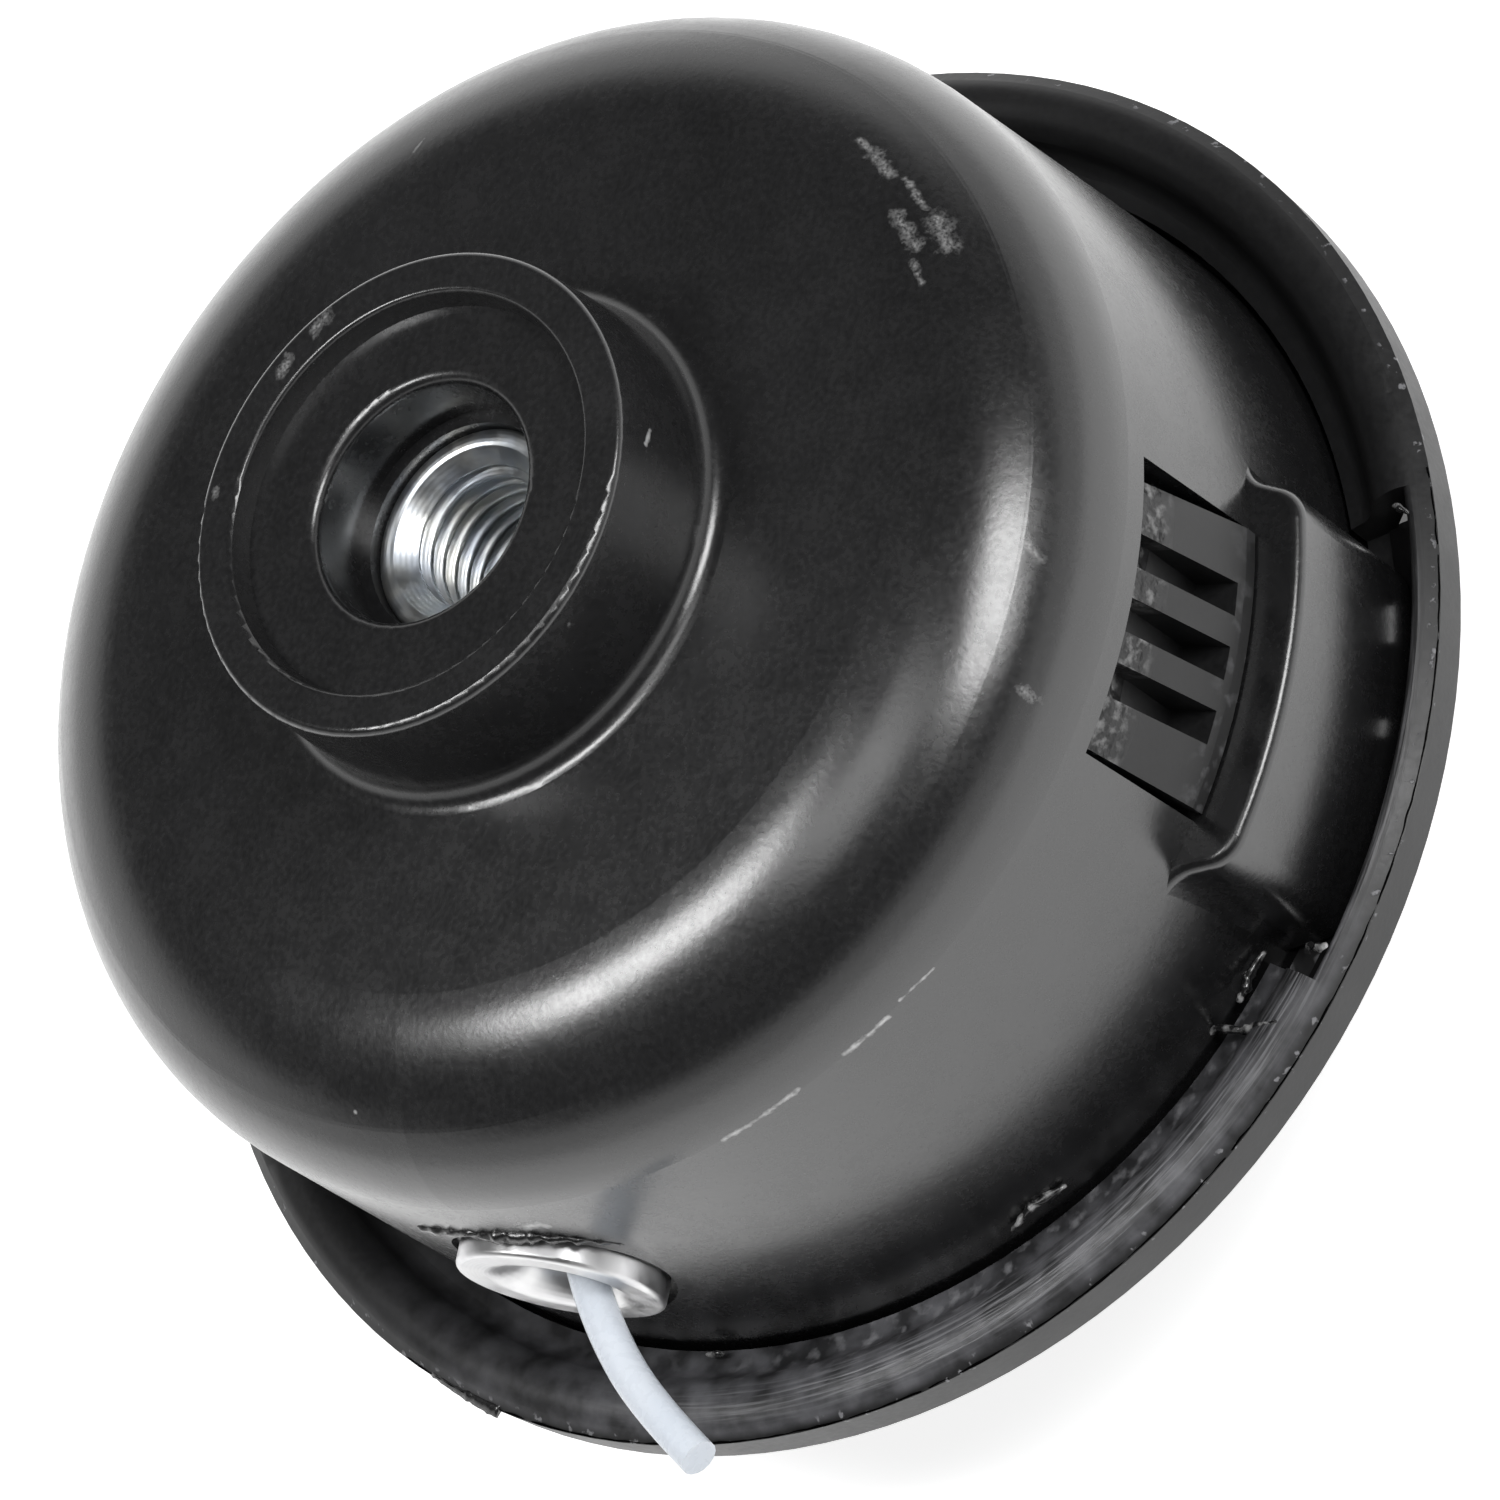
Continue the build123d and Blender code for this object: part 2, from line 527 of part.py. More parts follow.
def feed_spring():
    """Compression spring between the spool's web and the hub core."""
    radius = SPRING_WIRE / 2
    rise = CORE_FOOT_Z - SPRING_SEAT_Z - SPRING_WIRE - 2 * SEAT_GAP
    coil = Helix(rise / SPRING_TURNS, rise, SPRING_R)
    wire = sweep(Plane(coil @ 0, z_dir=coil % 0) * Circle(radius), coil, is_frenet=True)
    return Pos(0, 0, SPRING_SEAT_Z + radius + SEAT_GAP) * wire


def line_end(route, angle):
    """Line end: straight runs joined by tangent arcs as large as they allow."""
    points = [Vector(x, y, EYELET_Z) for x, y in route]
    runs = [end - start for start, end in zip(points, points[1:])]
    radii = [ARC_SHARE * min(first.length, second.length) / math.tan(math.radians(first.get_angle(second) / 2))
             for first, second in zip(runs, runs[1:])]
    print("line bend radii", [round(radius, 1) for radius in radii])
    path = FilletPolyline(*points, radius=radii)
    body = sweep(Plane(path @ 0, z_dir=path % 0) * Circle(LINE_D / 2), path)
    print("line volume over section times length", round(body.volume / (math.pi * LINE_D**2 / 4 * path.length), 4))
    return Rot(0, 0, angle) * body


def main():
    """Write one file for each piece of the head."""
    pieces = {
        "housing": housing(),
        "drive_nut": drive_nut(),
        "cover": cover(),
        "bump_knob": bump_knob(),
        "spool": spool(),
        "line_winding": line_winding(),
        "feed_spring": feed_spring(),
    }
    for name, angle, route in zip(("a", "b"), EYELET_ANGLES, (LINE_ROUTE, PARKED_ROUTE)):
        pieces["line_eyelet_" + name] = eyelet(angle)
        pieces["line_end_" + name] = line_end(route, angle)
    os.makedirs("parts", exist_ok=True)
    for name, piece in pieces.items():
        export_step(Pos(0, 0, KNOB_DROP) * piece, f"parts/{name}.step")


main()
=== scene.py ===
import math

import bpy
from mathutils import Matrix, Vector, noise


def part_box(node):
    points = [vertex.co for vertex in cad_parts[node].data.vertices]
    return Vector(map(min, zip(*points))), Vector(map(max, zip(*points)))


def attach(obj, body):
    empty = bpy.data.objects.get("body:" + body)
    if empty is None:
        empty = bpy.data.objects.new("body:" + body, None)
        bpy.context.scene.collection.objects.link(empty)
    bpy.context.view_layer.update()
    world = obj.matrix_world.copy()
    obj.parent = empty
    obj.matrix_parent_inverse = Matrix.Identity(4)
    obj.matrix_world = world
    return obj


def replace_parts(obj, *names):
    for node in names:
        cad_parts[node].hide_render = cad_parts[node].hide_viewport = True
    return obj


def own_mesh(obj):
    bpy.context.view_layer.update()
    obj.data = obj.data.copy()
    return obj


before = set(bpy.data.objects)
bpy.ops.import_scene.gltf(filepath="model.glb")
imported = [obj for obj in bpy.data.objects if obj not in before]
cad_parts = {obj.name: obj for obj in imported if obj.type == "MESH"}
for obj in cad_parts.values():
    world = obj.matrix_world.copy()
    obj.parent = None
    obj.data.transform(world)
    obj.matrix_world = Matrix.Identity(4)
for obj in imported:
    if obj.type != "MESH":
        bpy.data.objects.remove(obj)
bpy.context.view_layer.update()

# A black tap-feed trimmer head on a white table. Metres, Z is the spin axis.
MM = 0.001

# Camera: turned on its side about the view, as the photograph shows the head
CAMERA_AIM = Vector((0.00113, -0.00239, 0.02140))
CAMERA_DISTANCE = 0.4752
CAMERA_AZIMUTH = 64.0        # degrees from +X
CAMERA_ELEVATION = 49.52
CAMERA_ROLL = -57.82
CAMERA_LENS = 181.1
CAMERA_SENSOR = 36.0
CAMERA_NEAR = 0.01

# Lamps, as azimuth and elevation in degrees, distance, width, height and power
KEY_LAMP = (-62.0, 70.5, 1.0, 0.21, 0.40, 4.0)
TOP_LAMP = (65.0, 78.0, 1.0, 0.36, 0.36, 1.05)
SIDE_LAMP = (110.0, 49.0, 1.0, 0.42, 0.32, 5.1)
FLOOR_SIZE = 8.0
FLOOR_CLOUD = 6.0            # features for each metre
FLOOR_GREYS = (0.80, 0.83)
FLOOR_ROUGHNESS = 0.7
FLOOR_GLOW = 0.8             # seen by the camera and in reflections only
HORIZON = (0.24, 0.42)       # heights between which the studio turns dark
HORIZON_LIGHT = 0.85
CEILING_LIGHT = 0.05

# Cutting line: routes of its two ends, along the eyelet's axis and sideways from it
LINE_ROUTE = [               # drawn out through its eyelet
    (23.25, -11.6), (25.44, -7.35), (28.65, -3.7), (32.6, -0.8),
    (37.5, 1.0), (42.3, 4.15), (46.5, 8.2), (49.6, 12.8),
]
PARKED_ROUTE = [             # ends in the mouth of its eyelet
    (13.78, -22.05), (17.73, -19.01), (20.9, -15.47), (23.25, -11.6), (25.44, -7.35),
    (28.65, -3.7), (32.6, -0.8), (36.2, 0.75), (39.2, 1.55),
]
LINE_HEIGHT = 32.0 * MM
LINE_DIAMETER = 2.4 * MM
LINE_LENGTHS = (36.5 * MM, 35.5 * MM)
LINE_RINGS = 6
LINE_ORDER = 3
LINE_STEPS = 12

# Drive nut with its M10 x 1.25 left-hand thread
THREAD_PITCH = 1.25 * MM
THREAD_MINOR = 4.32 * MM
THREAD_MAJOR = 5.0 * MM
THREAD_MOUTH = 5.65 * MM
THREAD_CREST = 0.25          # share of the pitch
THREAD_ROOT = 0.125
NUT_COLLAR = 6.75 * MM
NUT_COLLAR_HEIGHT = 1.8 * MM
NUT_FLATS = 17.0 * MM
NUT_CHAMFER = 0.25 * MM
NUT_STEPS = 96
THREAD_STEPS = 16            # rows for each pitch

# Feed spring
SPRING_RADIUS = 11.2 * MM
SPRING_WIRE = 1.6 * MM
SPRING_TURNS = 6
SPRING_STEPS = 40            # sections for each turn
WIRE_STEPS = 10

# Parting line round the brim
PARTING_HEIGHT = 20.0 * MM

# Wear on the housing, and one painted glint, in millimetres: ends of each mark and its width.
# Marks on the crown count in plan, marks on the wall in space.
CROWN_MARKS = [
    ((-26.2, 19.3, 0), (-25.3, 20.5, 0), 0.3), ((-25.3, 20.5, 0), (-23.9, 22.1, 0), 0.45),
    ((-23.6, 23.1, 0), (-21.6, 25.0, 0), 0.25), ((-20.9, 25.8, 0), (-19.1, 27.1, 0), 0.65),
    ((-21.0, 23.5, 0), (-18.9, 25.3, 0), 0.45), ((-17.8, 25.5, 0), (-16.4, 26.4, 0), 0.25),
    ((-0.9, 35.6, 0), (-0.3, 36.1, 0), 0.35), ((7.5, 36.2, 0), (7.7, 36.5, 0), 0.3),
    ((-11.6, -9.0, 0), (-10.7, -9.6, 0), 0.5), ((-8.8, -11.1, 0), (-7.8, -11.5, 0), 0.45),
    ((-0.5, -14.4, 0), (-0.1, -14.4, 0), 0.25),
    ((-27.9, -13.5, 0), (-27.0, -13.9, 0), 0.12),
]
WALL_SCRATCHES_AND_GLINT = [
    ((33.5, 18.7, 43.6), (30.5, 23.2, 43.8), 0.22), ((28.2, 26.0, 43.7), (25.9, 28.3, 43.5), 0.22),
    ((24.9, 29.1, 43.8), (22.9, 30.7, 43.5), 0.14), ((-4.5, 14.8, 59.4), (-3.5, 15.1, 59.8), 0.2),
    # The last wall mark is a painted glint on the wall above the eyelet
    ((8.1, 13.2, 60.8), (8.3, 13.2, 60.8), 0.18), ((38.3, 3.3, 40.5), (38.2, 4.4, 40.6), 0.55),
]

# Torn plastic over the eyelet and flash on the brim: points in millimetres,
# thickness and seed
TORN_EDGES = [
    ([(38.0, -6.6, 38.4), (38.3, -3.5, 39.0), (38.5, 0.0, 39.2), (38.4, 2.6, 38.9), (38.1, 5.0, 37.8),
      (37.8, 7.2, 36.0)], 0.55, 1),
    ([(31.6, 23.5, 20.2), (30.3, 25.0, 20.9), (28.7, 26.9, 20.4)], 0.4, 2),
    ([(13.5, 37.2, 19.6), (15.3, 36.6, 19.9), (16.0, 36.5, 20.0), (16.9, 36.2, 19.9)], 0.45, 3),
    ([(18.8, 34.4, 19.4), (18.4, 34.9, 19.6), (18.5, 36.7, 19.6), (18.5, 38.3, 20.4),
      (18.4, 39.9, 21.1)], 0.35, 4),
    ([(13.5, 40.5, 20.4), (13.8, 42.0, 21.3), (13.9, 42.8, 21.7)], 0.35, 5),
    ([(-14.4, 41.2, 20.9), (-14.1, 42.0, 21.3), (-13.7, 42.7, 21.4)], 0.3, 6),
    ([(39.9, 2.2, 19.2), (39.8, 3.6, 19.3)], 0.25, 7),
]
EYELET_TEAR = 1              # seed of the one that stays dark
RIDGE_STEPS = 10             # sections for each run
RIDGE_SIDES = 8
RIDGE_ENDS = (0.3, 0.4)      # steps by which the blunt ends start and stop
RIDGE_TAPER = 0.4
RIDGE_WAVES = (1.7, 0.8)     # along it for each millimetre, and round it
RIDGE_SIZE = (0.75, 0.7)     # mean size and size of the lumps
FLAKE_START = -23.4          # degrees
FLAKE_END = -15.2
FLAKE_INNER = 45.3 * MM
FLAKE_REACH = 1.25 * MM
FLAKE_STEPS = 24
FLAKE_GROWTH = (0.55, 0.4)   # share of the reach at one end, and its growth
FLAKE_RAGGED = 0.12 * MM
FLAKE_ROOT = 0.3 * MM        # half thickness
FLAKE_TIP = 0.06 * MM

# Ragged seam under the brim's bead, where the photograph shows it, drawn as a strip of painted shadow
SEAM_START = -26.0           # degrees
SEAM_END = 112.0
SEAM_STEP = 0.4
SEAM_RADIUS = 45.9 * MM
SEAM_HEIGHT = 20.05 * MM
SEAM_THICKNESS = 0.1 * MM
SEAM_WANDER = 0.12 * MM
SEAM_WAVES = (0.7, 0.35)     # for each degree: of its height and of its thickness
SEAM_WIDTHS = (0.25, 0.7, 0.8)  # least, mean and swing, as shares of the thickness

# Web that closes the slot under a ledge, in millimetres from the axis and the table,
# and its spans in degrees from the latch: a whole strip and rim, and a broken lip between them
SHOWN_LATCH = 90.0           # degrees
HIDDEN_LATCH = 270.0
WEB_STRIP = [(41.2, 16.7), (42.6, 16.7), (43.45, 17.14), (43.45, 16.91), (42.6, 16.5), (41.2, 16.5)]
WEB_LIP = [(43.44, 17.13), (43.81, 17.32), (43.81, 17.09), (43.44, 16.91)]
WEB_RIM = [(43.8, 17.32), (44.35, 17.6), (44.35, 17.35), (43.8, 17.08)]
WHOLE_LIP = [(-20.9, 20.9)]
BROKEN_LIP = [(-20.9, 1.3), (2.8, 9.8), (13.2, 20.9)]
WEB_STEP = 0.8               # degrees

# Finishes. A noise is its features for each metre and its detail; levels are the two values
# that a ramp runs between, and the two it gives; a relief is its depth and strength.
EVEN_LEVELS = (0.3, 0.7)
MARK_NOISE = (1500.0, 4.0)
MARK_EDGE = (0.3, 1.4)       # shares of a mark's width
MARK_SOFT = (-0.3, 0.9)
CROWN_EDGE = (44.5 * MM, 45.0 * MM)
SCUFF_GRAIN = (5200.0, 2.0)
SCUFF_LEVELS = (0.34, 0.68, 0.15, 0.9)
WALL_MARK_GAPS = (1300.0, 3.0)
WALL_MARK_LEVELS = (0.36, 0.5, 0.25, 1.0)

# Wear on the cover, with painted highlight streaks on the bead and painted glints along the seam: bands are
# their low end, high end and softness
SCRAPE_STREAKS = 9.0         # for each radian
SCRAPE_LANES = 5000.0        # for each metre
SCRAPE_REACH = (42.3 * MM, 45.2 * MM, 0.4 * MM)
SCRAPE_HEIGHTS = (20.3 * MM, 21.0 * MM)
SCRAPE_SIDE = (0.1, 1.7, 0.25)
SCRAPE_NOISE = (1.0, 3.0)
SCRAPE_LEVELS = (0.46, 0.72)
VALLEY_REACH = (39.2 * MM, 42.2 * MM, 0.3 * MM)
VALLEY_NOISE = (900.0, 5.0)
VALLEY_LEVELS = (0.52, 0.70, 0.0, 0.8)
EDGE_REACH = (45.2 * MM, 45.4 * MM)
EDGE_HEIGHTS = (19.8 * MM, 20.4 * MM, 0.1 * MM)
SEAM_GLINT_NOISE = (1400.0, 4.0)
SEAM_GLINT_LEVELS = (0.62, 0.68)
# Painted sheen on the lit side of the brim's top
BRIM_HEIGHTS = (18.0 * MM, 23.0 * MM, 0.2 * MM)
BRIM_REACH = (39.1 * MM, 45.6 * MM, 0.2 * MM)
BRIM_LIT_SIDE = (-0.35, 1.3, 0.3)
BRIM_SHEEN_NOISE = (420.0, 6.0)
BRIM_SHEEN_LEVELS = (0.38, 0.70, 0.1, 1.0)
# Ends of the hook's ribs: lumpy relief, and flecks of painted glint
RIB_HEIGHTS = (38.2 * MM, 42.0 * MM, 0.6 * MM)
RIB_REACH = (35.9 * MM, 36.1 * MM)
RIB_LUMPS = (800.0, 3.0)
RIB_GLINT_FLECKS = (1300.0, 4.0)
RIB_GLINT_LEVELS = (0.5, 0.68)

# Black plastic
BLACK_CLOUD = (70.0, 3.0)
BLACK_GRAIN = (2600.0, 2.0)
BLACK_LEVELS = (0.35, 0.65)
BLACK_GREYS = (0.008, 0.015)
BLACK_TINT = 0.05
DUST_SCALE = 260.0
DUST_SIZE = (0.05, 0.02)
DUST_SHARE = (0.965, 0.97)
DUST_GREY = 0.4
SATIN_NOISE = (320.0, 3.0)
SATIN_LEVELS = (0.7, 1.3)
SATIN_ROUGHNESS = (0.22, 0.30)
COAT_ROUGHNESS = 0.22
# Pale patches of painted highlight on the torn edges
TORN_HIGHLIGHT_NOISE = (1100.0, 4.0)
TORN_HIGHLIGHT_LEVELS = (0.46, 0.64)
TORN_HIGHLIGHT_GREY = 0.42
SCUFF_GREY = 0.27
SCRATCH_AND_GLINT_GREY = 0.62
WORN_ROUGHNESS = 0.5
BRIM_SHEEN_GREY = (0.11, 0.08)     # with its blue tint
WEAR_AND_HIGHLIGHT_GREY = (0.2, 0.05)
RIB_GLINT_GREY = 0.22
GRAIN_RELIEF = (0.02 * MM, 0.4)
RIB_RELIEF = (0.5 * MM, 1.0)
WORN_RELIEF = (0.04 * MM, 0.6)
# Painted shadow in the brim's seam
SHADOW_NOISE = (900.0, 3.0)
SHADOW_GREYS = (0.001, 0.004)
SHADOW_ROUGHNESS = (0.8, 0.95)
COVER_FINISH = {"dull": 0.16, "specular": 0.48, "coat": 0.0}
WEB_FINISH = {"dull": 0.3, "specular": 0.3, "coat": 0.0}

# Metals: two colours and a roughness
ALLOY = ((0.60, 0.60, 0.61, 1), (0.70, 0.70, 0.70, 1), 0.3)
ZINC = ((0.66, 0.71, 0.78, 1), (0.82, 0.82, 0.77, 1), 0.28)
TOOL_RINGS = 26000.0         # radians for each metre
TOOL_RELIEF = (0.003 * MM, 0.6)
METAL_BLOTCH = (420.0, 4.0)
METAL_LEVELS = (0.35, 0.7)
METAL_NOISE = (900.0, 3.0)
METAL_SPREAD = 0.14
STEEL_COLOURS = ((0.30, 0.30, 0.32, 1), (0.46, 0.46, 0.47, 1))
STEEL_CLOUD = (500.0, 3.0)
STEEL_GRIT = 1600.0
STEEL_ROUGHNESS = (0.28, 0.42)

# Milky line
LINE_COLOURS = ((0.76, 0.82, 0.90, 1), (0.79, 0.84, 0.91, 1))
LINE_CLOUD = (260.0, 2.0)
LINE_GRIT = 1500.0
LINE_ROUGHNESS = (0.22, 0.34)
LINE_SCATTER = 0.15
LINE_DEPTH = 1.0 * MM
LINE_IOR = 1.53


def polar(radius, azimuth, height=0.0):
    """Point at a radius, an azimuth in degrees and a height."""
    angle = math.radians(azimuth)
    return Vector((radius * math.cos(angle), radius * math.sin(angle), height))


def direction(azimuth, elevation):
    """Unit vector towards an azimuth and an elevation in degrees."""
    rise = math.radians(elevation)
    return polar(math.cos(rise), azimuth, math.sin(rise))


def add_mesh(name, points, faces, body, material):
    """Smooth mesh piece that rides on a body."""
    mesh = bpy.data.meshes.new(name)
    mesh.from_pydata(points, [], faces)
    mesh.polygons.foreach_set("use_smooth", [True] * len(mesh.polygons))
    mesh.update()
    piece = bpy.data.objects.new(name, mesh)
    bpy.context.scene.collection.objects.link(piece)
    mesh.materials.append(material)
    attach(piece, body)
    return piece


def grid_faces(rows, columns, close_rows):
    """Quads of a grid whose columns close round, and whose rows may too."""
    count = rows if close_rows else rows - 1
    faces = []
    for i in range(count):
        for j in range(columns):
            k = (j + 1) % columns
            n = (i + 1) % rows
            faces.append((i * columns + j, i * columns + k, n * columns + k, n * columns + j))
    return faces


class Surface:
    """A material's nodes round one Principled shader."""

    def __init__(self, name):
        self.material = bpy.data.materials.new(name)
        self.material.use_nodes = True
        self.tree = self.material.node_tree
        self.shader = self.tree.nodes["Principled BSDF"]
        self.place = self.add("ShaderNodeTexCoord").outputs["Object"]
        split = self.add("ShaderNodeSeparateXYZ", [(0, self.place)])
        self.x, self.y, self.z = split.outputs[:3]
        squares = [self.math("POWER", part, 2.0) for part in (self.x, self.y)]
        self.radius = self.math("SQRT", self.math("ADD", *squares))
        self.angle = self.math("ARCTAN2", self.y, self.x)

    def add(self, kind, inputs=(), **settings):
        """New node with its settings, and its inputs linked or set."""
        node = self.tree.nodes.new(kind)
        for key, value in settings.items():
            setattr(node, key, value)
        for socket, value in inputs:
            if isinstance(value, bpy.types.NodeSocket):
                self.tree.links.new(value, node.inputs[socket])
            else:
                node.inputs[socket].default_value = value
        return node

    def math(self, operation, first, second=0.0):
        """Result of one sum."""
        return self.add("ShaderNodeMath", [(0, first), (1, second)], operation=operation).outputs[0]

    def noise(self, scale, detail=2.0, vector=None):
        """Cloud noise from 0 to 1; scale is in features for each metre."""
        inputs = [("Vector", vector or self.place), ("Scale", scale), ("Detail", detail)]
        return self.add("ShaderNodeTexNoise", inputs).outputs["Fac"]

    def ramp(self, value, low, high, start=0.0, end=1.0):
        """Value mapped from low..high to start..end, and held there."""
        inputs = [("Value", value), ("From Min", low), ("From Max", high), ("To Min", start), ("To Max", end)]
        return self.add("ShaderNodeMapRange", inputs).outputs[0]

    def band(self, value, low, high, soft):
        """Mask of 1 between two values, with soft ends."""
        rise = self.ramp(value, low - soft, low + soft)
        return self.math("MULTIPLY", rise, self.ramp(value, high - soft, high + soft, 1.0, 0.0))

    def every(self, *masks):
        """Product of masks."""
        result = masks[0]
        for mask in masks[1:]:
            result = self.math("MULTIPLY", result, mask)
        return result

    def span(self, operation, first, second):
        """Vector result of one sum."""
        return self.add("ShaderNodeVectorMath", [(0, first), (1, second)], operation=operation)

    def mark(self, place, start, end, width):
        """Mask of a ragged stroke between two points in millimetres."""
        start, end = Vector(start) * MM, Vector(end) * MM
        run = end - start
        from_start = self.span("SUBTRACT", place, start).outputs[0]
        along = self.span("DOT_PRODUCT", from_start, run / run.length_squared).outputs["Value"]
        along = self.ramp(along, 0.0, 1.0)
        nearest = self.add("ShaderNodeVectorMath", [(0, run), ("Scale", along)], operation="SCALE").outputs[0]
        reach = self.span("DISTANCE", from_start, nearest).outputs["Value"]
        edge = [share * width * MM for share in MARK_EDGE]
        soft = [share * width * MM for share in MARK_SOFT]
        ragged = self.ramp(self.noise(*MARK_NOISE), *EVEN_LEVELS, *edge)
        return self.ramp(self.math("SUBTRACT", ragged, reach), *soft)

    def mix(self, share, first, second):
        """Colour between two colours."""
        inputs = [(0, share), (6, first), (7, second)]
        return self.add("ShaderNodeMix", inputs, data_type="RGBA").outputs[2]

    def set(self, **values):
        """Constants on the shader's own sockets."""
        for key, value in values.items():
            self.shader.inputs[key.replace("_", " ")].default_value = value

    def link(self, socket, output):
        """Nodes into a socket of the shader."""
        self.tree.links.new(output, self.shader.inputs[socket])

    def bump(self, height, depth, strength=1.0, below=None):
        """Relief of a depth in metres, laid over another one."""
        inputs = [("Height", height), ("Distance", depth), ("Strength", strength)]
        if below is not None:
            inputs.append(("Normal", below))
        return self.add("ShaderNodeBump", inputs).outputs[0]


def grey(level, tint=0.0):
    """Grey with a slight blue tint."""
    return (level, level, level * (1 + tint), 1.0)


def strokes(surface, place, marks):
    """Mask of several marks."""
    worn = surface.mark(place, *marks[0])
    for mark in marks[1:]:
        worn = surface.math("MAXIMUM", worn, surface.mark(place, *mark))
    return worn


def housing_wear_and_glint(surface):
    """Masks of the scuffs on the crown and of the scratches on the wall that the photograph shows, one wall
    mark being a painted glint.
    """
    plan = surface.span("MULTIPLY", surface.place, (1.0, 1.0, 0.0)).outputs[0]
    upper = surface.ramp(surface.z, *CROWN_EDGE)
    grain = surface.ramp(surface.noise(*SCUFF_GRAIN), *SCUFF_LEVELS)
    scuffs = surface.every(strokes(surface, plan, CROWN_MARKS), upper, grain)
    gaps = surface.ramp(surface.noise(*WALL_MARK_GAPS), *WALL_MARK_LEVELS)
    scratches_and_glint = surface.every(strokes(surface, surface.place, WALL_SCRATCHES_AND_GLINT), gaps)
    return scuffs, scratches_and_glint


def cover_wear_and_highlights(surface):
    """Mask of the scraped bead with its painted highlight streaks, the scuffed valley and the painted glints
    along the seam.
    """
    around = surface.add("ShaderNodeCombineXYZ", [
        (0, surface.math("MULTIPLY", surface.angle, SCRAPE_STREAKS)),
        (1, surface.math("MULTIPLY", surface.radius, SCRAPE_LANES)),
    ]).outputs[0]
    lane = surface.band(surface.radius, *SCRAPE_REACH)
    above = surface.ramp(surface.z, *SCRAPE_HEIGHTS)
    side = surface.band(surface.angle, *SCRAPE_SIDE)
    streaks = surface.ramp(surface.noise(*SCRAPE_NOISE, around), *SCRAPE_LEVELS)
    # Scratch streaks on the bead, lightened as a painted highlight on its lit side
    scrape_and_highlight = surface.every(lane, above, side, streaks)
    floor = surface.band(surface.radius, *VALLEY_REACH)
    scuff = surface.every(floor, side, surface.ramp(surface.noise(*VALLEY_NOISE), *VALLEY_LEVELS))
    # Painted glints along the seam
    edge = surface.every(surface.ramp(surface.radius, *EDGE_REACH), surface.band(surface.z, *EDGE_HEIGHTS),
                         surface.ramp(surface.noise(*SEAM_GLINT_NOISE), *SEAM_GLINT_LEVELS))
    return surface.math("MAXIMUM", surface.math("MAXIMUM", scrape_and_highlight, scuff), edge)


def brim_painted_sheen(surface):
    """Mask of the painted sheen on the lit side of the brim's top."""
    top = surface.every(surface.band(surface.z, *BRIM_HEIGHTS), surface.band(surface.radius, *BRIM_REACH),
                        surface.band(surface.angle, *BRIM_LIT_SIDE))
    return surface.math("MULTIPLY", top, surface.ramp(surface.noise(*BRIM_SHEEN_NOISE), *BRIM_SHEEN_LEVELS))


def rib_ends(surface):
    """Mask of the rough upper ends of the hook's ribs."""
    high = surface.band(surface.z, *RIB_HEIGHTS)
    return surface.math("MULTIPLY", high, surface.ramp(surface.radius, *RIB_REACH))


def painted_shadow_black(name):
    """Dull black that paints the shadow in a seam."""
    surface = Surface(name)
    cloud = surface.noise(*SHADOW_NOISE)
    surface.link("Base Color", surface.mix(cloud, *map(grey, SHADOW_GREYS)))
    surface.link("Roughness", surface.ramp(cloud, *EVEN_LEVELS, *SHADOW_ROUGHNESS))
    surface.set(Specular_IOR_Level=0.0)
    return surface.material


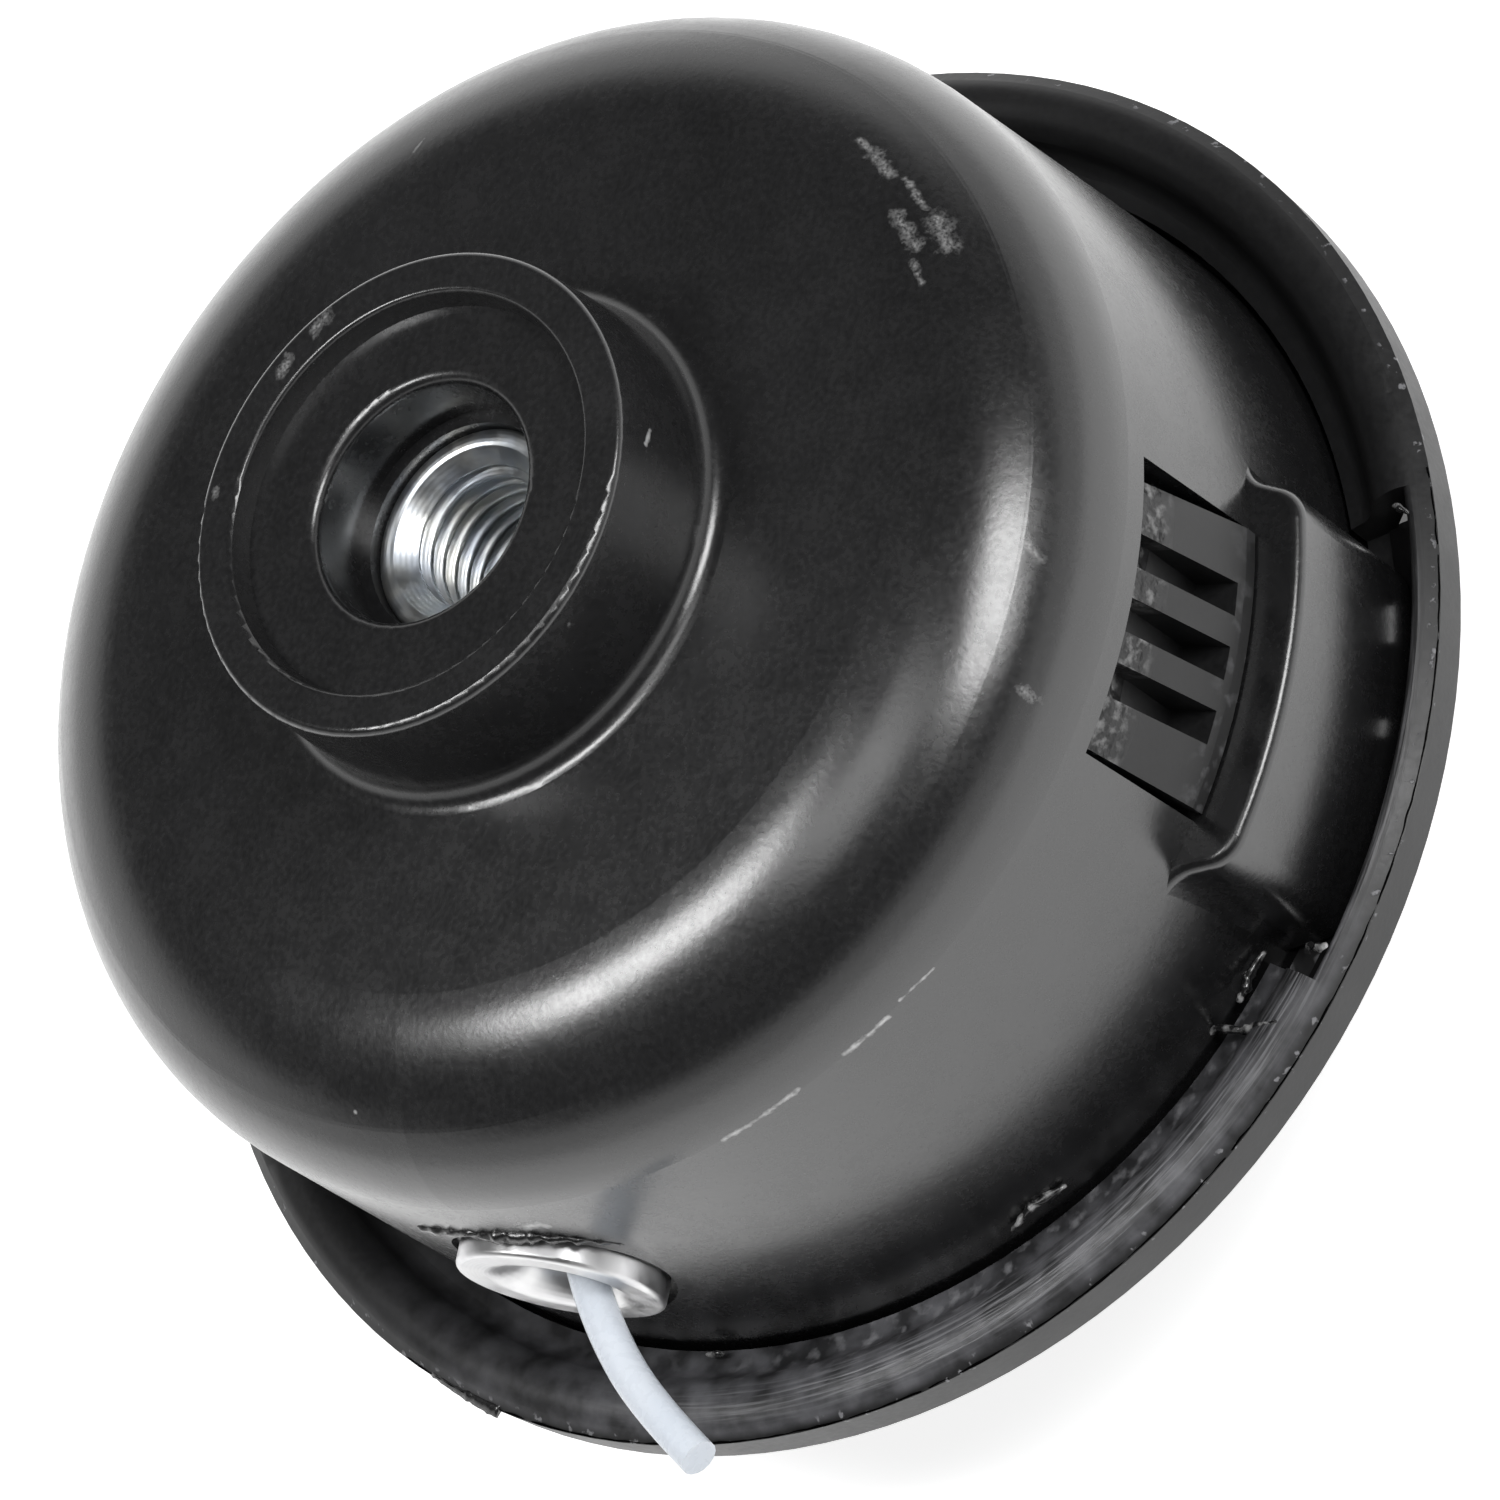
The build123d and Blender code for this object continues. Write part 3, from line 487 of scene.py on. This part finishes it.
def moulded_black(name, dull=0.0, specular=0.85, coat=0.25):
    """Black satin nylon with a fine grain, dust and the wear of its piece, and on some pieces painted
    highlights, sheen and glints.
    """
    surface = Surface(name)
    cloud = surface.noise(*BLACK_CLOUD)
    grain = surface.noise(*BLACK_GRAIN)
    tone = surface.math("MULTIPLY", surface.math("ADD", cloud, grain), 0.5)
    dark, light = (grey(level, BLACK_TINT) for level in BLACK_GREYS)
    colour = surface.mix(surface.ramp(tone, *BLACK_LEVELS), dark, light)
    dust = surface.add("ShaderNodeTexVoronoi", [("Vector", surface.place), ("Scale", DUST_SCALE)]).outputs
    pick = surface.add("ShaderNodeSeparateColor", [(0, dust["Color"])]).outputs[0]
    spot = surface.ramp(dust["Distance"], *DUST_SIZE)
    speck = surface.math("MULTIPLY", spot, surface.ramp(pick, *DUST_SHARE))
    colour = surface.mix(speck, colour, grey(DUST_GREY))
    gloss = surface.math("ADD", surface.noise(*SATIN_NOISE), grain)
    rough = surface.ramp(gloss, *SATIN_LEVELS, *(level + dull for level in SATIN_ROUGHNESS))
    relief = surface.bump(grain, *GRAIN_RELIEF)
    # Torn edges: pale patches of painted highlight
    if name.startswith("torn"):
        colour = surface.mix(surface.ramp(surface.noise(*TORN_HIGHLIGHT_NOISE), *TORN_HIGHLIGHT_LEVELS), colour, grey(TORN_HIGHLIGHT_GREY))
    if name.startswith("housing"):
        scuffs, scratches_and_glint = housing_wear_and_glint(surface)
        colour = surface.mix(scuffs, colour, grey(SCUFF_GREY))
        # Pale scratches on the wall, and one painted glint above the eyelet
        colour = surface.mix(scratches_and_glint, colour, grey(SCRATCH_AND_GLINT_GREY))
        rough = surface.ramp(surface.math("MAXIMUM", scuffs, scratches_and_glint), 0.0, 1.0, rough, WORN_ROUGHNESS)
    if name.startswith("cover"):
        worn = cover_wear_and_highlights(surface)
        # Painted sheen on the lit side of the brim
        colour = surface.mix(brim_painted_sheen(surface), colour, grey(*BRIM_SHEEN_GREY))
        # Scrapes and scuffs of the cover, with painted highlight streaks and painted glints
        colour = surface.mix(worn, colour, grey(*WEAR_AND_HIGHLIGHT_GREY))
        ends = rib_ends(surface)
        lumps = surface.math("MULTIPLY", ends, surface.noise(*RIB_LUMPS))
        # Flecks of painted glint on the rib ends
        glint_fleck = surface.ramp(surface.noise(*RIB_GLINT_FLECKS), *RIB_GLINT_LEVELS)
        colour = surface.mix(surface.math("MULTIPLY", ends, glint_fleck), colour, grey(RIB_GLINT_GREY))
        relief = surface.bump(lumps, *RIB_RELIEF, relief)
        relief = surface.bump(worn, *WORN_RELIEF, relief)
    surface.link("Base Color", colour)
    surface.link("Roughness", rough)
    surface.link("Normal", relief)
    surface.set(Specular_IOR_Level=specular, Coat_Weight=coat, Coat_Roughness=COAT_ROUGHNESS)
    return surface.material


def bright_metal(name, low, high, rough, axis_height, along_z):
    """Turned metal with fine tool rings about its axis."""
    surface = Surface(name)
    reach = surface.radius
    if not along_z:
        across = surface.math("POWER", surface.math("SUBTRACT", surface.z, axis_height), 2.0)
        reach = surface.math("SQRT", surface.math("ADD", across, surface.math("POWER", surface.y, 2.0)))
    rings = surface.math("SINE", surface.math("MULTIPLY", reach, TOOL_RINGS))
    blotch = surface.ramp(surface.noise(*METAL_BLOTCH), *METAL_LEVELS)
    surface.link("Base Color", surface.mix(blotch, low, high))
    worn = surface.ramp(surface.noise(*METAL_NOISE), *EVEN_LEVELS, rough, rough + METAL_SPREAD)
    surface.link("Roughness", worn)
    surface.link("Normal", surface.bump(rings, *TOOL_RELIEF))
    surface.set(Metallic=1.0)
    return surface.material


def milky_nylon(name):
    """Translucent white line."""
    surface = Surface(name)
    cloud = surface.ramp(surface.noise(*LINE_CLOUD), *EVEN_LEVELS)
    surface.link("Base Color", surface.mix(cloud, *LINE_COLOURS))
    surface.link("Roughness", surface.ramp(surface.noise(LINE_GRIT), *EVEN_LEVELS, *LINE_ROUGHNESS))
    surface.set(Subsurface_Weight=LINE_SCATTER, Subsurface_Radius=(1, 1, 1))
    surface.set(Subsurface_Scale=LINE_DEPTH, IOR=LINE_IOR)
    return surface.material


def spring_steel(name):
    """Drawn steel wire, slightly oiled."""
    surface = Surface(name)
    surface.link("Base Color", surface.mix(surface.noise(*STEEL_CLOUD), *STEEL_COLOURS))
    surface.link("Roughness", surface.ramp(surface.noise(STEEL_GRIT), *EVEN_LEVELS, *STEEL_ROUGHNESS))
    surface.set(Metallic=1.0)
    return surface.material


def line_curve(name, plan, azimuth, material):
    """Line end along its route, as a smooth round curve."""
    curve = bpy.data.curves.new(name, "CURVE")
    curve.dimensions = "3D"
    spline = curve.splines.new("NURBS")
    spline.points.add(len(plan) - 1)
    turn = Matrix.Rotation(math.radians(azimuth), 3, "Z")
    route = [turn @ Vector((x * MM, y * MM, LINE_HEIGHT)) for x, y in plan]
    for point, place in zip(spline.points, route):
        point.co = (*place, 1.0)
    spline.order_u = LINE_ORDER
    spline.use_endpoint_u = True
    spline.resolution_u = LINE_STEPS
    curve.bevel_depth = LINE_DIAMETER / 2
    curve.bevel_resolution = LINE_RINGS
    curve.use_fill_caps = True
    curve.materials.append(material)
    piece = bpy.data.objects.new(name, curve)
    bpy.context.scene.collection.objects.link(piece)
    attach(piece, "head")
    return piece


def thread_radius(height, angle, face):
    """Radius of the threaded bore, with the countersink at its mouth."""
    phase = (height / THREAD_PITCH + angle / math.tau) % 1.0
    rise = abs(2 * phase - 1)
    share = (rise - THREAD_CREST) / (1 - THREAD_CREST - THREAD_ROOT)
    cut = THREAD_MINOR + (THREAD_MAJOR - THREAD_MINOR) * min(max(share, 0.0), 1.0)
    return max(cut, THREAD_MOUTH - (face - height))


def hex_radius(angle, flats):
    """Radius of a hexagon with a corner on +X."""
    return flats / 2 / math.cos(angle % (math.pi / 3) - math.pi / 6)


def threaded_nut(material):
    """Plated nut with a collar, a countersink and a cut thread, as one closed mesh."""
    low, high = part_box("drive_nut")
    foot, face = low.z, high.z
    shoulder = face - NUT_COLLAR_HEIGHT
    rows = []
    count = round((face - foot) / THREAD_PITCH * THREAD_STEPS)
    angles = [math.tau * j / NUT_STEPS for j in range(NUT_STEPS)]
    for i in range(count + 1):
        height = foot + (face - foot) * i / count
        rows.append([(thread_radius(height, angle, face), height) for angle in angles])
    collar = [(NUT_COLLAR - NUT_CHAMFER, face), (NUT_COLLAR, face - NUT_CHAMFER), (NUT_COLLAR, shoulder)]
    for radius, height in collar:
        rows.append([(radius, height)] * NUT_STEPS)
    for inset, height in ((NUT_CHAMFER, shoulder), (0.0, shoulder - NUT_CHAMFER), (0.0, foot)):
        rows.append([(hex_radius(angle, NUT_FLATS) - inset, height) for angle in angles])
    points = [(radius * math.cos(angle), radius * math.sin(angle), height)
              for row in rows for (radius, height), angle in zip(row, angles)]
    faces = [tuple(reversed(quad)) for quad in grid_faces(len(rows), NUT_STEPS, True)]
    piece = add_mesh("threaded_nut", points, faces, "head", material)
    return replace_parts(piece, "drive_nut")


def coil_spring(material):
    """Compression spring of round wire, which on the real head shortens with the button."""
    low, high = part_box("feed_spring")
    radius = SPRING_WIRE / 2
    count = SPRING_TURNS * SPRING_STEPS
    points = []
    for i in range(count + 1):
        angle = math.tau * i / SPRING_STEPS
        height = low.z + radius + (high.z - low.z - SPRING_WIRE) * i / count
        for j in range(WIRE_STEPS):
            round_wire = math.tau * j / WIRE_STEPS
            reach = SPRING_RADIUS + radius * math.cos(round_wire)
            rise = height + radius * math.sin(round_wire)
            points.append((reach * math.cos(angle), reach * math.sin(angle), rise))
    faces = grid_faces(count + 1, WIRE_STEPS, False)
    faces.append(tuple(range(WIRE_STEPS)))
    faces.append(tuple(reversed(range(count * WIRE_STEPS, (count + 1) * WIRE_STEPS))))
    piece = add_mesh("coil_spring", points, faces, "head", material)
    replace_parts(piece, "feed_spring")
    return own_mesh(piece)


def torn_edge(name, points, thickness, seed, material):
    """Lumpy ridge of torn plastic along a few points."""
    places = [Vector(point) * MM for point in points]
    runs = list(zip(places, places[1:]))
    path = [start.lerp(end, i / RIDGE_STEPS) for start, end in runs for i in range(RIDGE_STEPS)]
    path.append(places[-1])
    rows = []
    for i, place in enumerate(path):
        along = (path[min(i + 1, len(path) - 1)] - path[max(i - 1, 0)]).normalized()
        side = along.orthogonal().normalized()
        over = along.cross(side)
        taper = math.sin(math.pi * (i + RIDGE_ENDS[0]) / (len(path) - RIDGE_ENDS[1])) ** RIDGE_TAPER
        for j in range(RIDGE_SIDES):
            turn = math.tau * j / RIDGE_SIDES
            away = side * math.cos(turn) + over * math.sin(turn)
            spot = place / MM * RIDGE_WAVES[0] + away * RIDGE_WAVES[1] + Vector((seed, 0, 0))
            swell = RIDGE_SIZE[0] + RIDGE_SIZE[1] * noise.noise(spot)
            rows.append(place + away * thickness * MM * taper * swell)
    faces = grid_faces(len(path), RIDGE_SIDES, False)
    faces.append(tuple(reversed(range(RIDGE_SIDES))))
    faces.append(tuple(range((len(path) - 1) * RIDGE_SIDES, len(path) * RIDGE_SIDES)))
    add_mesh(name, rows, faces, "head", material)


def flash_flake(material):
    """Thin fin of flash on the brim's edge, torn off square at one end."""
    points = []
    for i in range(FLAKE_STEPS + 1):
        share = i / FLAKE_STEPS
        azimuth = FLAKE_START + (FLAKE_END - FLAKE_START) * share
        growth = FLAKE_GROWTH[0] + FLAKE_GROWTH[1] * share
        reach = FLAKE_INNER + FLAKE_REACH * growth + FLAKE_RAGGED * noise.noise((azimuth * 2, 0, 0))
        rise = FLAKE_RAGGED * noise.noise((azimuth, 3, 0)) + PARTING_HEIGHT
        points += [polar(FLAKE_INNER, azimuth, rise + FLAKE_ROOT), polar(reach, azimuth, rise + FLAKE_TIP),
                   polar(reach, azimuth, rise - FLAKE_TIP), polar(FLAKE_INNER, azimuth, rise - FLAKE_ROOT)]
    faces = grid_faces(FLAKE_STEPS + 1, 4, False)
    faces.append((3, 2, 1, 0))
    faces.append(tuple(range(4 * FLAKE_STEPS, 4 * FLAKE_STEPS + 4)))
    add_mesh("flash_flake", points, faces, "head", material)


def seam_shadow_line(material):
    """Thin ragged line of shadow along the seam of the brim."""
    count = round((SEAM_END - SEAM_START) / SEAM_STEP)
    points = []
    for i in range(count + 1):
        azimuth = SEAM_START + SEAM_STEP * i
        wander = SEAM_WANDER * noise.noise((azimuth * SEAM_WAVES[0], 5, 0))
        least, mean, swing = SEAM_WIDTHS
        half = SEAM_THICKNESS * max(least, mean + swing * noise.noise((azimuth * SEAM_WAVES[1], 9, 0)))
        for radius, height in ((0, half), (half, 0), (0, -half), (-half, 0)):
            points.append(polar(SEAM_RADIUS + radius, azimuth, SEAM_HEIGHT + wander + height))
    faces = grid_faces(count + 1, 4, False)
    faces.append((3, 2, 1, 0))
    faces.append(tuple(range(4 * count, 4 * count + 4)))
    add_mesh("seam_shadow_line", points, faces, "head", material)


def slot_web(name, profile, start, end, material):
    """Part of the thin web under a ledge."""
    count = math.ceil((end - start) / WEB_STEP)
    sides = len(profile)
    points = [polar(radius * MM, start + (end - start) * i / count, height * MM)
              for i in range(count + 1) for radius, height in profile]
    faces = grid_faces(count + 1, sides, False)
    faces.append(tuple(reversed(range(sides))))
    faces.append(tuple(range(sides * count, sides * (count + 1))))
    add_mesh(name, points, faces, "head", material)


def paint(names, material):
    """Finish of CAD nodes."""
    for name in names:
        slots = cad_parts[name].data.materials
        slots.clear()
        slots.append(material)


def add_camera():
    """Camera at the photograph's place."""
    data = bpy.data.cameras.new("camera")
    data.lens = CAMERA_LENS
    data.sensor_width = CAMERA_SENSOR
    data.clip_start = CAMERA_NEAR
    camera = bpy.data.objects.new("camera", data)
    bpy.context.scene.collection.objects.link(camera)
    back = direction(CAMERA_AZIMUTH, CAMERA_ELEVATION)
    level = Vector((-back.y, back.x, 0.0)).normalized()
    upright = back.cross(level)
    roll = math.radians(CAMERA_ROLL)
    right = level * math.cos(roll) + upright * math.sin(roll)
    up = back.cross(right)
    turn = Matrix((right, up, back)).transposed().to_4x4()
    camera.matrix_world = Matrix.Translation(CAMERA_AIM + back * CAMERA_DISTANCE) @ turn
    bpy.context.scene.camera = camera


def add_lamp(name, azimuth, elevation, distance, width, height, power):
    """Soft box that faces the head."""
    data = bpy.data.lights.new(name, "AREA")
    data.shape = "RECTANGLE"
    data.size = width
    data.size_y = height
    data.energy = power
    lamp = bpy.data.objects.new(name, data)
    bpy.context.scene.collection.objects.link(lamp)
    away = direction(azimuth, elevation)
    lamp.location = away * distance
    lamp.rotation_mode = "QUATERNION"
    lamp.rotation_quaternion = away.to_track_quat("Z", "Y")


def add_floor():
    """White table that keeps the shadow and shows white to the camera and in metal."""
    surface = Surface("white_table")
    cloud = surface.noise(FLOOR_CLOUD)
    surface.link("Base Color", surface.mix(cloud, *map(grey, FLOOR_GREYS)))
    surface.set(Roughness=FLOOR_ROUGHNESS)
    path = surface.add("ShaderNodeLightPath").outputs
    seen = surface.math("MAXIMUM", path["Is Camera Ray"], path["Is Glossy Ray"])
    seen = surface.math("MAXIMUM", seen, path["Is Transmission Ray"])
    surface.link("Emission Strength", surface.math("MULTIPLY", seen, FLOOR_GLOW))
    surface.set(Emission_Color=(1, 1, 1, 1))
    half = FLOOR_SIZE / 2
    mesh = bpy.data.meshes.new("floor")
    corners = [(-half, -half, 0), (half, -half, 0), (half, half, 0), (-half, half, 0)]
    mesh.from_pydata(corners, [], [(0, 1, 2, 3)])
    mesh.materials.append(surface.material)
    floor = bpy.data.objects.new("floor", mesh)
    bpy.context.scene.collection.objects.link(floor)


def add_world():
    """Pale walls and a dark ceiling; white to the camera."""
    world = bpy.data.worlds.new("studio")
    bpy.context.scene.world = world
    world.use_nodes = True
    nodes, links = world.node_tree.nodes, world.node_tree.links
    background = nodes["Background"]
    split = nodes.new("ShaderNodeSeparateXYZ")
    links.new(nodes.new("ShaderNodeTexCoord").outputs["Generated"], split.inputs[0])
    rise = nodes.new("ShaderNodeMapRange")
    links.new(split.outputs[2], rise.inputs["Value"])
    sockets = ("From Min", "From Max", "To Min", "To Max")
    for socket, value in zip(sockets, HORIZON + (HORIZON_LIGHT, CEILING_LIGHT)):
        rise.inputs[socket].default_value = value
    seen = nodes.new("ShaderNodeMath")
    seen.operation = "MAXIMUM"
    links.new(rise.outputs[0], seen.inputs[0])
    links.new(nodes.new("ShaderNodeLightPath").outputs["Is Camera Ray"], seen.inputs[1])
    links.new(seen.outputs[0], background.inputs["Strength"])
    background.inputs["Color"].default_value = (1, 1, 1, 1)


def main():
    """Dress the head and light it."""
    bpy.context.scene.view_settings.view_transform = "Standard"
    add_camera()
    nylon = milky_nylon("nylon_line")
    ends = (("a", LINE_ROUTE, 0.0), ("b", PARKED_ROUTE, 180.0))
    for (letter, plan, azimuth), length in zip(ends, LINE_LENGTHS):
        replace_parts(line_curve("cut_line_" + letter, plan, azimuth, nylon), "line_end_" + letter)
    paint(["line_winding"], nylon)
    paint(["cover"], moulded_black("cover_black", **COVER_FINISH))
    for name in ("housing", "bump_knob", "spool"):
        paint([name], moulded_black(name + "_black"))
    alloy = bright_metal("turned_alloy", *ALLOY, LINE_HEIGHT, False)
    paint(["line_eyelet_a", "line_eyelet_b"], alloy)
    zinc = bright_metal("zinc_plate", *ZINC, 0.0, True)
    threaded_nut(zinc)
    coil_spring(spring_steel("spring_wire"))
    torn = moulded_black("torn_black")
    flash = moulded_black("flash_black")
    web = moulded_black("web_black", **WEB_FINISH)
    for points, thickness, seed in TORN_EDGES:
        torn_edge(f"torn_edge_{seed}", points, thickness, seed, flash if seed == EYELET_TEAR else torn)
    flash_flake(flash)
    seam_shadow_line(painted_shadow_black("seam_painted_shadow"))
    for angle, lip in ((SHOWN_LATCH, BROKEN_LIP), (HIDDEN_LATCH, WHOLE_LIP)):
        parts = [(WEB_STRIP, WHOLE_LIP), (WEB_RIM, WHOLE_LIP), (WEB_LIP, lip)]
        spans = [(profile, span) for profile, whole in parts for span in whole]
        for i, (profile, (start, end)) in enumerate(spans):
            slot_web(f"slot_web_{angle:.0f}_{i}", profile, angle + start, angle + end, web)
    add_lamp("key_lamp", *KEY_LAMP)
    add_lamp("top_lamp", *TOP_LAMP)
    add_lamp("side_lamp", *SIDE_LAMP)
    add_floor()
    add_world()


main()
